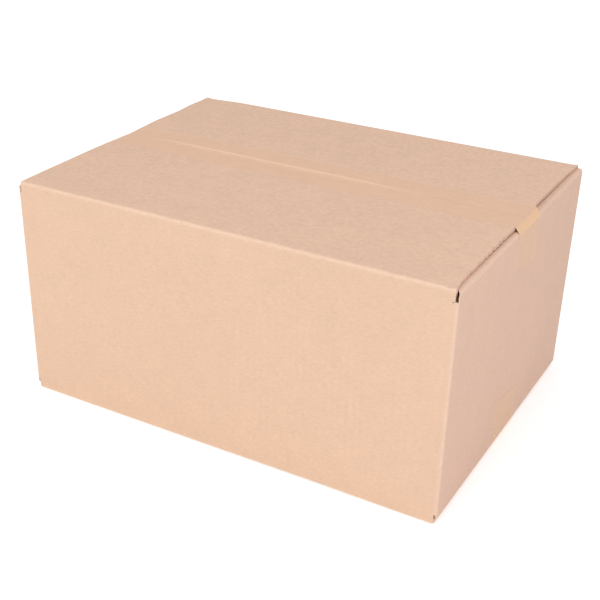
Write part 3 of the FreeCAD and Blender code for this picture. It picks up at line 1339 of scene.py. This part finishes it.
@dataclass(frozen=True)
class TapeFilm:
    """Clear amber tape, as an opaque film that has the paper's pattern in its own tints.

    The tints are those of the strip; its tails, painted darker as shade; the span over each end
    fold, a painted highlight; the strip's long edges; a painted highlight along the ridge over
    the seam; and painted shade along the seam's line near the right end. Each pair of places is
    where one of them starts and where it is full.
    """

    name: str
    sizes: BoxSizes
    seam: float
    paper_group: bpy.types.NodeTree
    # Share of the painted highlight along the ridge over the seam.
    glint: float = 0.0
    tint: Colour = (0.676, 0.451, 0.309)
    tail_shade_tint: Colour = (0.648, 0.431, 0.295)
    # Colour of the painted highlight where the tape spans each end fold's gap.
    span_highlight_tint: Colour = (0.745, 0.488, 0.295)
    edge_tint: Colour = (0.705, 0.48, 0.34)
    # Colour of the painted highlight along the ridge over the seam.
    glint_tint: Colour = (0.80, 0.565, 0.385)
    # Colour of the painted shade along the seam near the right end.
    seam_shade_tint: Colour = (0.63, 0.42, 0.275)
    fibre: float = 0.12
    tail_blend: Point = (0.6 * MM, -0.2 * MM)
    span_rise: float = 1.8 * MM
    span_fall: float = 1.2 * MM
    edge_inset: Point = (1.6 * MM, 0.4 * MM)
    edge_share: float = 0.9
    line_across: Point = (1.1 * MM, 0.2 * MM)
    line_along: Point = (95 * MM, 125 * MM)
    line_stop: float = 4.0 * MM
    ridge_offset: float = 1.2 * MM
    ridge_across: Point = (2.3 * MM, 0.9 * MM)
    ridge_along: Point = (-185 * MM, -115 * MM)
    ridge_stop: Point = (125 * MM, 40 * MM)
    bump: Point = (0.06 * MM, 0.5)
    specular: float = 0.1

    def build(self) -> bpy.types.Material:
        """Makes the material.

        Returns:
            The material.
        """
        sizes = self.sizes
        material, graph, place = start_material(self.name)
        split = graph.node("ShaderNodeSeparateXYZ", {0: place}).outputs
        along = graph.math("ABSOLUTE", split["X"])
        middle = sizes.middle
        level = graph.math("ABSOLUTE", graph.math("SUBTRACT", split["Z"], middle))
        fold = sizes.inner_top - sizes.end_radius - middle
        start, full = self.tail_blend
        # Painted shade: the tails on the end panels are tinted darker, like the end panels' paper.
        tail = graph.ramp(level, fold + start, fold + full)
        inputs = {
            "Vector": place,
            "Flute Place": split["X"],
            "Paper": graph.mix(tail, self.tint, self.tail_shade_tint),
            "Fibre": self.fibre,
        }
        paper = graph.node("ShaderNodeGroup", inputs, node_tree=self.paper_group).outputs
        across = graph.math("ABSOLUTE", graph.math("SUBTRACT", split["Y"], self.seam))
        half = sizes.tape_width / 2
        start, full = self.edge_inset
        edge = graph.ramp(across, half - start, half - full)
        edge = graph.math("MULTIPLY", edge, self.edge_share)
        # Painted shade along the seam near the right end.
        line = self.together(
            graph,
            graph.ramp(across, *self.line_across),
            graph.ramp(split["X"], *self.line_along),
            graph.ramp(along, sizes.flap_end, sizes.flap_end - self.line_stop),
        )
        # Painted highlight along the ridge just behind the seam, fading out towards both ends.
        off_ridge = graph.math("SUBTRACT", split["Y"], self.seam + self.ridge_offset)
        ridge = self.together(
            graph,
            graph.ramp(graph.math("ABSOLUTE", off_ridge), *self.ridge_across),
            graph.ramp(split["X"], *self.ridge_along),
            graph.ramp(split["X"], *self.ridge_stop),
            self.glint,
        )
        # Painted highlight where the tape spans the gap over each end fold.
        span = self.together(
            graph,
            graph.ramp(along, sizes.flap_end - self.span_rise, sizes.flap_end),
            graph.ramp(level, fold, fold + self.span_fall),
        )
        color = paper["Color"]
        for share, tint in (
            (edge, self.edge_tint),
            (line, self.seam_shade_tint),
            (ridge, self.glint_tint),
            (span, self.span_highlight_tint),
        ):
            color = graph.mix(share, color, tint)
        streak = graph.noise(graph.scaled(place, (0.15, 1.0, 0.15)), 300.0, detail=2.0)
        roughness = graph.math("MULTIPLY_ADD", streak, 0.15, 0.45)
        graph.surface(color, roughness, paper["Height"], self.bump, self.specular)
        return material

    @staticmethod
    def together(graph: Graph, first: Socket, *others: float | Socket) -> Socket:
        """Multiplies masks and returns the product."""
        for other in others:
            first = graph.math("MULTIPLY", first, other)
        return first


@dataclass(frozen=True)
class Softbox:
    """A square soft light, aimed at the carton's middle."""

    name: str
    place: tuple[float, float, float]
    size: float
    power: float
    tint: Colour


@dataclass(frozen=True)
class Studio:
    """The pale floor, the soft lights and the camera.

    The camera was fitted to the carton's outlines in the photograph. The strengths and tints of
    the lights were chosen for its tones.
    """

    azimuth: float = 30.604
    elevation: float = 29.040
    roll: float = 0.433
    distance: float = 1.00739
    aim_height: float = 0.101
    slide: tuple[float, float] = (-39.405 * MM, -54.599 * MM)
    lens_pixels: float = 1104.75
    centre_shift: tuple[float, float] = (-39.8, 40.0)
    image_pixels: float = 600.0
    sensor: float = 36.0
    floor_size: float = 16.0
    floor_tone: float = 0.92
    floor_glow: float = 0.27
    surround: Colour = (0.97, 0.98, 1.0)
    surround_strength: float = 0.70
    softboxes: Sequence[Softbox] = (
        Softbox("front_softbox", (-1.3, -2.4, 1.5), 2.2, 29.0, (1.0, 0.99, 0.88)),
        Softbox("top_softbox", (0.3, -0.5, 2.4), 2.2, 19.0, (1.0, 0.90, 1.0)),
        Softbox("side_softbox", (0.8, -0.3, 0.45), 0.35, 0.8, (1.0, 0.96, 0.95)),
    )

    def add_floor(self) -> None:
        """Lays the floor at the height where the carton stands."""
        bpy.ops.object.select_all(action="DESELECT")
        bpy.ops.mesh.primitive_plane_add(size=self.floor_size, location=(0, 0, 0))
        floor = bpy.context.object
        floor.name = "studio_floor"
        material, graph, place = start_material("pale_floor")
        roughness = graph.math("MULTIPLY_ADD", graph.noise(place, 40.0), 0.05, 0.9)
        shader = material.node_tree.nodes["Principled BSDF"].inputs
        graph.feed(shader["Roughness"], roughness)
        shader["Base Color"].default_value = (self.floor_tone, self.floor_tone, self.floor_tone, 1)
        shader["Specular IOR Level"].default_value = 0.0
        shader["Emission Color"].default_value = (1, 1, 1, 1)
        shader["Emission Strength"].default_value = self.floor_glow
        floor.data.materials.append(material)

    def add_lights(self) -> None:
        """Sets a pale surround and soft lights: front left, overhead and at the right end."""
        world = bpy.data.worlds.new("surround")
        bpy.context.scene.world = world
        world.use_nodes = True
        background = world.node_tree.nodes["Background"]
        background.inputs["Color"].default_value = (*self.surround, 1)
        background.inputs["Strength"].default_value = self.surround_strength
        for softbox in self.softboxes:
            light = bpy.data.lights.new(softbox.name, "AREA")
            light.shape = "SQUARE"
            light.size = softbox.size
            light.energy = softbox.power
            light.color = softbox.tint
            lamp = bpy.data.objects.new(softbox.name, light)
            bpy.context.scene.collection.objects.link(lamp)
            lamp.location = softbox.place
            aim = Vector((0, 0, self.aim_height)) - lamp.location
            lamp.rotation_euler = aim.to_track_quat("-Z", "Y").to_euler()

    def add_camera(self) -> None:
        """Places the camera at the photograph's viewing angle."""
        azimuth, elevation, roll = (
            math.radians(angle) for angle in (self.azimuth, self.elevation, self.roll)
        )
        back = Vector((
            math.sin(azimuth) * math.cos(elevation),
            -math.cos(azimuth) * math.cos(elevation),
            math.sin(elevation),
        ))
        level = (-back).cross(Vector((0, 0, 1))).normalized()
        upright = level.cross(-back)
        right = level * math.cos(roll) + upright * math.sin(roll)
        up = upright * math.cos(roll) - level * math.sin(roll)
        place = Vector((0, 0, self.aim_height)) + back * self.distance
        place += right * self.slide[0] + up * self.slide[1]
        camera = bpy.data.cameras.new("camera")
        camera.sensor_width = self.sensor
        camera.lens = self.lens_pixels / self.image_pixels * self.sensor
        camera.shift_x = -self.centre_shift[0] / self.image_pixels
        camera.shift_y = self.centre_shift[1] / self.image_pixels
        camera.clip_start = 0.01
        holder = bpy.data.objects.new("camera", camera)
        bpy.context.scene.collection.objects.link(holder)
        turn = Matrix((right, up, back)).transposed().to_4x4()
        holder.matrix_world = Matrix.Translation(place) @ turn
        bpy.context.scene.camera = holder

    def build(self) -> None:
        """Sets the whole stage, with colours shown as they are."""
        self.add_floor()
        self.add_lights()
        self.add_camera()
        bpy.context.scene.view_settings.view_transform = "Standard"
        LOG.info("stage set")


def settle(piece: bpy.types.Object, slot: str, *nodes: str) -> None:
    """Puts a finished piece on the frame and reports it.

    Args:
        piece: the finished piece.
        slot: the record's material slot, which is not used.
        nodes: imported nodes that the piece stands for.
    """
    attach(piece, "root")
    if nodes:
        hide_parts(*nodes)
    LOG.info("%s: %d faces", piece.name, len(piece.data.polygons))


def main() -> None:
    """Builds the carton, its tape and the stage."""
    sizes = BoxSizes.from_frame()
    bow = TopBow(sizes)
    handling = (Waves(sizes), LeftEnd(sizes))
    paper_group = build_paper_group()
    groups = (paper_group, build_wear_and_highlight_group())
    side = KraftBoard("kraft_side", FluteRun.ALONG_X, SIDE_PAPER, sizes, *groups, MARKS)
    # The end panels get the side paper painted a little darker, as shade.
    end = KraftBoard("kraft_end", FluteRun.ALONG_Y, SHADED_END_PAPER, sizes, *groups, folds_low=True)
    # The top strip gets the painted highlight along its seam.
    top_film = TapeFilm("clear_tape_top", sizes, sizes.top_seam, paper_group, glint=0.6)
    bottom_film = TapeFilm("clear_tape_bottom", sizes, sizes.bottom_seam, paper_group)
    # The cut edges' dark dashes are painted shade of the open flutes.
    edge = CutBoard()
    # Painted shade: near-black board for the slots' raw edges and the faces behind the near top
    # slot.
    shade = CutBoard("cut_board_deep", (0.10, 0.045, 0.022), (0.035, 0.014, 0.006))
    films = [film.build() for film in (top_film, bottom_film)]
    finishes = [finish.build() for finish in (side, edge, end, shade)]
    settle(CartonSheet(sizes, bow, handling).build(*finishes), "board", "carton")
    top_strip = TapeStrip("top_tape_strip", sizes, handling, bow)
    bottom_strip = TapeStrip("bottom_tape_strip", sizes, handling, None)
    settle(top_strip.build(films[0]), "tape", "top_tape")
    settle(bottom_strip.build(films[1]), "tape", "bottom_tape")
    Studio().build()


if __name__ == "__main__":
    logging.basicConfig(level=logging.INFO, format="%(message)s")
    main()
